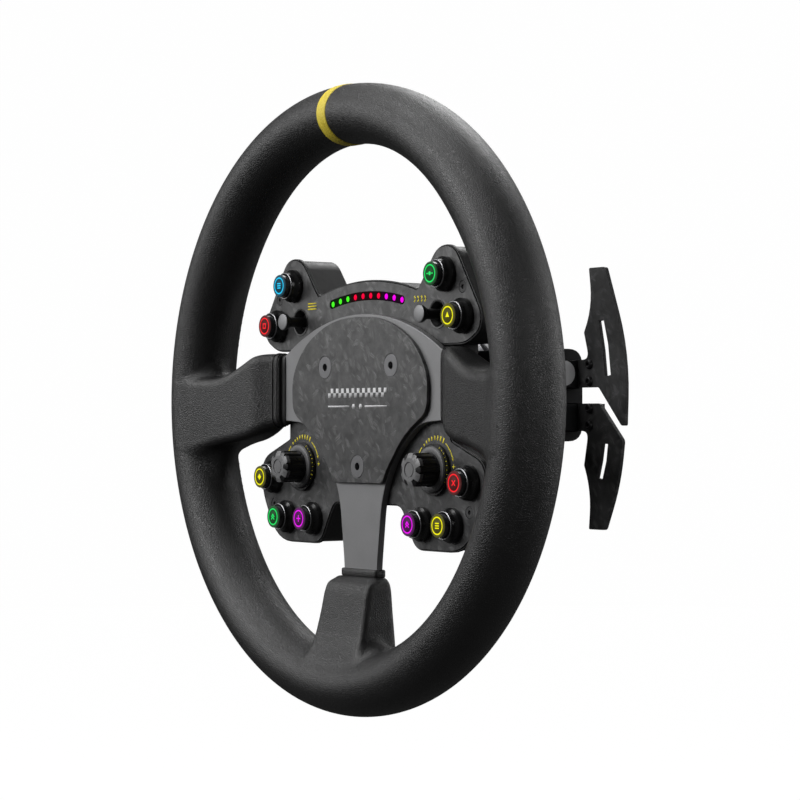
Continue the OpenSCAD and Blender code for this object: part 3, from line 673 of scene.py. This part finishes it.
def seams():
    """The closing seam round the rear of the grip's inner side, with its crossed stitches."""
    lines, threads = [], []
    for low, high in SEAM_SPANS:
        angles = np.radians(np.linspace(low, high, int((high - low) / 1.5)))
        lines.append(tube([on_grip(a, SEAM_TURN, 0.02) for a in angles], 0.35, 6))
        for a in np.radians(np.arange(low + 0.6, high, STITCH_EVERY)):
            for side in (-1, 1):
                path = [on_grip(a + side * k * STITCH_SLANT, SEAM_TURN + (k - 0.5) * STITCH_LENGTH,
                                height) for k, height in STITCH]
                threads.append(tube(path, 0.3, 5))
    piece("rim_seam", *joined(lines), "thread", slot="leather")
    piece("rim_stitches", *joined(threads), "thread", slot="leather")


SPOKE_MIDDLE = (7.5, 6.5)           # (y, z) of the side spokes at their wraps
# a near-black band fills each wrap's end: painted shade where the leather's end wall is in shadow
SHADE_BAND_LOOPS = ((71.8, 0.94), (72.3, 0.97), (74.6, 0.97), (76.0, 0.95))         # x, share of height
SHADE_BAND_FRONT, SHADE_BAND_BACK = 0.48, 0.85                                # shares of the wrap's depth
WELTS_AT = (75.9, 78.4)
COLLAR_LOOPS = ((-88.5, 0.0), (-88.7, 0.55), (-89.2, 0.8), (-91.9, 0.8), (-92.6, 0.5),
                (-93.6, -0.2))      # z, height over the spoke
LOW_SPOKE_Y, LOW_SPOKE_A, LOW_SPOKE_B = 7.85, 15.1, 3.3           # middle, half width and depth
SQUARENESS = 7                      # power of the collar's rounded rectangle


def spoke_ends():
    """A near-black band between each spoke and its wrap, painted shade at the wrap's end; two welts
    on the wrap, and the low collar.
    """
    middle_y, middle_z = SPOKE_MIDDLE
    for side, s in SIDES:
        inner = traced(leather_field, s * SHADE_BAND_LOOPS[-1][0], SPOKE_MIDDLE)
        shrunk = []
        for x, tall in SHADE_BAND_LOOPS:
            shrunk.append([(s * x,
                            middle_y + (y - middle_y) * (SHADE_BAND_FRONT if y < middle_y else SHADE_BAND_BACK),
                            middle_z + (z - middle_z) * tall) for _, y, z in inner])
        # near-black band at the wrap's end: painted shade
        skin(f"{side}_spoke_end_shade", shrunk, "end_shade", "black_plastic")
        welts = [tube(traced(leather_field, s * x, (7.0, middle_z)), 0.4, 10, closed=True)
                 for x in WELTS_AT]
        piece(f"{side}_spoke_welts", *joined(welts), "leather", slot="leather")
    collar = []
    for z, proud in COLLAR_LOOPS:
        loop = []
        for t in np.linspace(0, 2 * math.pi, 80, endpoint=False):
            c, d = math.cos(t), math.sin(t)
            r = (abs(c) ** SQUARENESS + abs(d) ** SQUARENESS) ** (-1 / SQUARENESS)
            loop.append(((LOW_SPOKE_A + proud) * c * r,
                         LOW_SPOKE_Y + (LOW_SPOKE_B + proud) * d * r, z))
        collar.append(loop)
    skin("low_collar", collar, "leather", "leather")


leather_rim()
stripe()
seams()
spoke_ends()


# ---- Controls ----

BUTTONS = {             # ring colour and mark
    ("left", "top"): ("cyan", "bars"), ("right", "top"): ("green", "dot"),
    ("left", "upper"): ("red", "square"), ("right", "upper"): ("yellow", "triangle"),
    ("left", "lower"): ("yellow", "diamond"), ("right", "lower"): ("red", "cross"),
    ("left", "corner"): ("green", "chevron"), ("right", "corner"): ("yellow", "bars"),
    ("left", "inner"): ("magenta", "plus"), ("right", "inner"): ("magenta", "chevron"),
}


def around(at, radius, angle):
    return at[0] + radius * math.cos(angle), at[1] + radius * math.sin(angle)


def polar(n, radius, start=0.0):
    """A regular outline of n corners."""
    return [around((0.0, 0.0), radius, start + 2 * math.pi * i / n) for i in range(n)]


def bar(x0, z0, x1, z1, width):
    """The outline of a straight stroke with square ends half a width beyond its two points."""
    along = Vector((x1 - x0, z1 - z0)).normalized() * width / 2
    n = Vector((-along.y, along.x))
    return [(x0 - along.x - n.x, z0 - along.y - n.y), (x1 + along.x - n.x, z1 + along.y - n.y),
            (x1 + along.x + n.x, z1 + along.y + n.y), (x0 - along.x + n.x, z0 - along.y + n.y)]


STROKE = 0.62
STROKES = {
    "bars": ((-1.3, -1.2, 1.3, -1.2), (-1.3, 0.0, 1.3, 0.0), (-1.3, 1.2, 1.3, 1.2)),
    "dot": ((-2.3, 0.0, -1.75, 0.0), (1.75, 0.0, 2.3, 0.0)),
    "square": ((-1.2, -1.2, 1.2, -1.2), (-1.2, 1.2, 1.2, 1.2), (-1.2, -0.55, -1.2, 0.55),
               (1.2, -0.55, 1.2, 0.55)),
    "cross": ((-1.1, -1.1, 1.1, 1.1), (-1.1, 1.1, -0.35, 0.35), (0.35, -0.35, 1.1, -1.1)),
    "chevron": ((-1.2, -1.3, 0.0, -0.1), (0.0, -0.1, 1.2, -1.3), (-1.2, 0.1, 0.0, 1.3),
                (0.0, 1.3, 1.2, 0.1)),
    "plus": ((-1.5, 0.0, 1.5, 0.0), (0.0, 0.62, 0.0, 1.5), (0.0, -1.5, 0.0, -0.62)),
}


def icon(kind):
    """Outlines of a plain mark about 4 mm across."""
    discs = {"dot": [polar(28, 1.0)], "triangle": [polar(3, 1.75, math.pi / 2)],
             "diamond": [polar(4, 1.7)]}
    return discs.get(kind, []) + [bar(*stroke, STROKE) for stroke in STROKES.get(kind, ())]


def moved(outlines, x, z):
    return [[(a + x, b + z) for a, b in outline] for outline in outlines]


# Turned sections as (radius, depth behind the part's front) points; less than 0 stands proud
LIT_RING = ((3.95, 0), (4.02, -0.05), (4.5, -0.05), (4.58, 0), (4.58, 0.4), (3.95, 0.4))
LENS_DISC = ((0.0, -0.02), (3.9, -0.02), (3.92, 0.1), (0.0, 0.1))
CAP_RIM = ((4.62, 0.02), (4.72, -0.03), (5.5, -0.03), (5.86, 0.14), (6.02, 0.5), (5.9, 0.7),
           (4.62, 0.3))
# a thin ring over the bezel's rounded edge, drawn in lighter metal than the bezel: a painted
# highlight
BEZEL_HIGHLIGHT = ((6.75, 0.02), (6.8, -0.05), (7.05, 0.02), (7.3, 0.22), (7.33, 0.4), (7.1, 0.45))
KNOB_FACE = ((8.7, -3.13), (8.9, -3.2), (11.3, -3.2), (11.75, -2.9), (12.1, -1.62),
             (11.6, -1.58), (8.7, -2.9))
STICK_DISC = ((0.0, -0.08), (3.9, -0.08), (4.25, 0.02), (4.5, 0.3), (4.3, 0.5), (0.0, 0.5))
LIGHT_DOME = ((0.0, -0.04), (1.0, 0), (1.45, 0.25), (1.55, 0.6), (1.55, 1.2), (0.0, 1.2))
SLEEVE_BORE = 1.6


def turned(at, front, section, steps=64):
    """Points and faces of a turned part whose section's depths start at y = front."""
    return lathe(at, [(radius, front + depth) for radius, depth in section], steps)


def button_lights():
    """Lit ring, mark, lens and tinted rim on each button, and a lighter metal ring on its bezel's
    edge, a painted highlight on the black bezel.
    """
    highlight_rings = []
    for (side, place), (colour, mark) in BUTTONS.items():
        node = f"{side}_button_{place}"
        at, face = spot(node)
        piece(f"{node}_ring", *turned(at, face, LIT_RING), "ring_" + colour, node,
              slot="button_cap")
        mark_at = prism(moved(icon(mark), *at), face - 0.06, face + 0.2)
        bevel(piece(f"{node}_mark", *mark_at, "ring_" + colour, node, slot="button_cap"), 0.04)
        piece(f"{node}_lens", *turned(at, face, LENS_DISC), "face_" + colour, node,
              slot="button_cap")
        piece(f"{node}_rim", *turned(at, face, CAP_RIM), "edge_" + colour, node,
              slot="button_cap")
        highlight_rings.append(turned(at, BEZEL_FRONT, BEZEL_HIGHLIGHT))
    # the bezels' edges drawn in lighter metal than the black bezels: a painted highlight
    piece("bezel_edges", *joined(highlight_rings), "edge_ring", slot="bezel_plastic")


TICK_IN, TICK_SHORT, TICK_LONG = 12.25, 12.75, 13.0     # radii of the marks on a knob's skirt
ARROW_R, ARROW_HALF = 15.9, 0.8                         # radius and half width of the turn arrows
SCALE_R = 15.3
CHECK = 2.45                                            # side of the cover print's squares
RULE_Z = -3.4                                           # height of the line under them
INK_PROUD, INK_DEEP = 0.03, 0.1                         # the print over and in the surface


def knob_details():
    """The skirt's lit grey face and its tick marks, which turn with the knob."""
    for side, _ in SIDES:
        at, _ = spot(f"{side}_knob")
        body = f"{side}_dial"
        skirt = PLATE_FRONT - 0.3
        piece(f"{side}_knob_face", *turned(at, skirt, KNOB_FACE, 96), "skirt_grey", body,
              slot="knob_cap_plastic")
        ticks = []
        for degrees in range(-30, 61, 10):
            a, end = math.radians(degrees), TICK_SHORT if degrees % 20 else TICK_LONG
            ticks.append(bar(*around(at, TICK_IN, a), *around(at, end, a), 0.3))
        piece(f"{side}_knob_ticks", *prism(ticks, skirt - 1.65, skirt - 1.5), "print_yellow", body,
              slot="knob_plastic")


def arc(at, radius, start, end, width, steps=24):
    """The outline of a curved stroke."""
    angles = np.radians(np.linspace(start, end, steps))
    return ([around(at, radius + width / 2, a) for a in angles]
            + [around(at, radius - width / 2, a) for a in angles[::-1]])


def knob_prints(at):
    """Outlines of the turn arrow, the growing scale and the plus sign round one knob."""
    outlines = [arc(at, ARROW_R, 156, 136, 0.62), arc(at, ARROW_R, 56, 20, 0.62)]
    tip, flank = math.radians(15), math.radians(22)
    outlines.append([around(at, ARROW_R, tip), around(at, ARROW_R + ARROW_HALF, flank),
                     around(at, ARROW_R - ARROW_HALF, flank)])
    for i in range(8):
        a, long = math.radians(127 - 9 * i), 0.5 + 0.22 * i
        outlines.append(bar(*around(at, SCALE_R, a), *around(at, SCALE_R + long, a), 0.95))
    plus = [bar(-0.9, 0, 0.9, 0, 0.5), bar(0, 0.5, 0, 0.9, 0.5), bar(0, -0.9, 0, -0.5, 0.5)]
    return outlines + moved(plus, at[0] + 15.6, at[1] + 1.6)


def ink(name, outlines, front, look):
    piece(name, *prism(outlines, front - INK_PROUD, front + INK_DEEP), look, slot="carbon")


def prints():
    """Plain printed marks: arrows and scales round the knobs, short marks by the thumb sticks."""
    outlines = [o for side, _ in SIDES for o in knob_prints(spot(f"{side}_knob")[0])]
    outlines += [bar(-55.2, z, -47.6, z, 0.7) for z in (49.6, 51.1, 52.6)]
    arrows = []
    for k in (-4.5, -1.5, 1.5, 4.5):
        arrows += [bar(k - 0.6, -1.25, k + 0.5, 0.0, 0.75), bar(k + 0.5, 0.0, k - 0.6, 1.25, 0.75)]
    ink("plate_prints", outlines + moved(arrows, 48.3, 51.2), PLATE_FRONT, "print_yellow")

    checks = []
    for i in range(22):
        x, z = -27 + i * CHECK, 1.2 + CHECK * (i % 2)
        checks.append([(x, z), (x + CHECK, z), (x + CHECK, z + CHECK), (x, z + CHECK)])
    rules = [bar(-26.7, RULE_Z, -7.5, RULE_Z, 0.9), bar(7.5, RULE_Z, 26.7, RULE_Z, 0.9)]
    dots = moved([polar(6, 1.5)], -3.2, RULE_Z) + moved([polar(6, 1.5)], 3.2, RULE_Z)
    ink("cover_print", checks + rules + dots, COVER_FRONT, "print_white")


def stick_faces():
    """The bright disc on each thumb stick."""
    for side, _ in SIDES:
        disc = turned(*spot(f"{side}_stick"), STICK_DISC)
        piece(f"{side}_stick_face", *disc, "stick_alloy", f"{side}_thumb_stick",
              slot="stick_alloy")


def shift_lights():
    """Ten small domed lights, each in a dark sleeve that fills its hole in the window."""
    obj = NODES["shift_lights"]
    _, face = spot("shift_lights")
    places = [obj.matrix_world @ v.co for v in obj.data.vertices]
    places = [(place.x / MM, place.z / MM) for place in places]
    xs = sorted({round(x, 2) for x, _ in places})
    groups, start = [], xs[0]
    for a, b in zip(xs, xs[1:] + [math.inf]):
        if b - a > 1.0:         # a gap between two lights
            groups.append((start, a))
            start = b
    domes, sleeves = [], []
    for x0, x1 in groups:
        zs = [z for x, z in places if x0 - 0.01 <= x <= x1 + 0.01]
        at, outer = ((x0 + x1) / 2, (min(zs) + max(zs)) / 2), (x1 - x0) / 2 - 0.02
        domes.append(turned(at, face, LIGHT_DOME, 40))
        sleeve = ((SLEEVE_BORE, 0.1), (outer, 0.1), (outer, 1.0), (SLEEVE_BORE, 1.0))
        sleeves.append(turned(at, face, sleeve, 40))
    lights = piece("light_domes", *joined(domes), "light_guide", slot="light_guide")
    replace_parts(lights, "shift_lights")
    piece("light_sleeves", *joined(sleeves), "lit_window", slot="dark_window")


def return_spring():
    """The collar's spring: a wire helix in place of the CAD spring."""
    low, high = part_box("qr_spring")
    wire, turns = 1.0, 4
    radius = (high.x - low.x) / 2 / MM - wire
    start, end = low.y / MM - RIM_Y + wire, high.y / MM - RIM_Y - wire
    steps = turns * 48
    path = []
    for i in range(steps + 1):
        a = 2 * math.pi * turns * i / steps
        path.append((radius * math.cos(a), start + (end - start) * i / steps, radius * math.sin(a)))
    spring = piece("return_spring", *tube(path, wire, 12), "pressed_steel", slot="pressed_steel")
    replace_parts(spring, "qr_spring")
    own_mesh(spring)


button_lights()
shift_lights()
return_spring()
knob_details()
prints()
stick_faces()


# ---- Camera, light and floor ----

# Solved from the rim's outlines in the photograph
CAMERA_AT = Vector((1073.96, -736.24, -12.39))
CAMERA_AXES = ((0.5815653, 0.8134997, -0.00025654), (0.00782479, -0.00527855, 0.99995545),
               (0.81346209, -0.58154141, -0.00943528))
LENS, SENSOR = 111.99, 36.0
FLOOR_Z = -0.62         # metres, as everything from here on
ROOM_RADIUS = 7.0
AIM = (0.0, -0.09, 0.0)
LIGHTS = {              # place, size, power
    "key": ((-0.6, -1.9, 1.0), 1.1, 30.0),
    "sheen": ((-1.5, -1.3, 0.65), 1.2, 10.0),
    "top": ((-0.5, -0.5, 1.8), 1.0, 18.0),
    "rear": ((-0.9, 1.2, 1.5), 1.0, 18.0),
    "side": ((1.9, 0.1, 0.5), 0.7, 8.0),
    "back": ((0.5, 2.2, 0.5), 1.2, 14.0),
}


def camera():
    data = bpy.data.cameras.new("camera")
    data.lens = LENS
    data.sensor_width = SENSOR
    data.clip_end = 50.0
    obj = bpy.data.objects.new("camera", data)
    bpy.context.scene.collection.objects.link(obj)
    turn = Matrix(CAMERA_AXES).transposed().to_4x4()
    obj.matrix_world = Matrix.Translation(to_row(CAMERA_AT)) @ turn
    bpy.context.scene.camera = obj


def area_light(name, at, size, power):
    """A square white light aimed at the wheel."""
    data = bpy.data.lights.new(name, "AREA")
    data.shape = "SQUARE"
    data.size = size
    data.energy = power
    obj = bpy.data.objects.new(name, data)
    bpy.context.scene.collection.objects.link(obj)
    obj.location = at
    obj.rotation_euler = (Vector(AIM) - Vector(at)).to_track_quat("-Z", "Y").to_euler()


def studio():
    """A pale round room with a flat floor, and soft lights all round."""
    scene = bpy.context.scene
    scene.view_settings.view_transform = "Standard"
    world = bpy.data.worlds.new("studio")
    scene.world = world
    world.use_nodes = True
    background = world.node_tree.nodes["Background"]
    background.inputs["Color"].default_value = (1.0, 1.0, 1.0, 1.0)
    background.inputs["Strength"].default_value = 0.06

    sheet = bmesh.new()
    bmesh.ops.create_icosphere(sheet, subdivisions=5, radius=ROOM_RADIUS)
    bmesh.ops.bisect_plane(sheet, geom=sheet.verts[:] + sheet.edges[:] + sheet.faces[:],
                           plane_co=(0, 0, FLOOR_Z), plane_no=(0, 0, -1), clear_outer=True)
    bmesh.ops.holes_fill(sheet, edges=[e for e in sheet.edges if e.is_boundary])
    mesh = bpy.data.meshes.new("cyclorama")
    sheet.to_mesh(mesh)
    sheet.free()
    room = bpy.data.objects.new("cyclorama", mesh)
    scene.collection.objects.link(room)
    pale = Shade("pale_cyclorama", rough=0.9,
                 **{"Emission Color": (1.0, 1.0, 1.0), "Emission Strength": 0.99})
    pale.base(pale.mix(pale.noise(3.0), (0.02, 0.02, 0.02), (0.025, 0.025, 0.025)))
    mesh.materials.append(pale.mat)
    room.visible_diffuse = room.visible_glossy = False
    room.visible_transmission = room.visible_shadow = False
    for name, setting in LIGHTS.items():
        area_light(name, *setting)


camera()
studio()
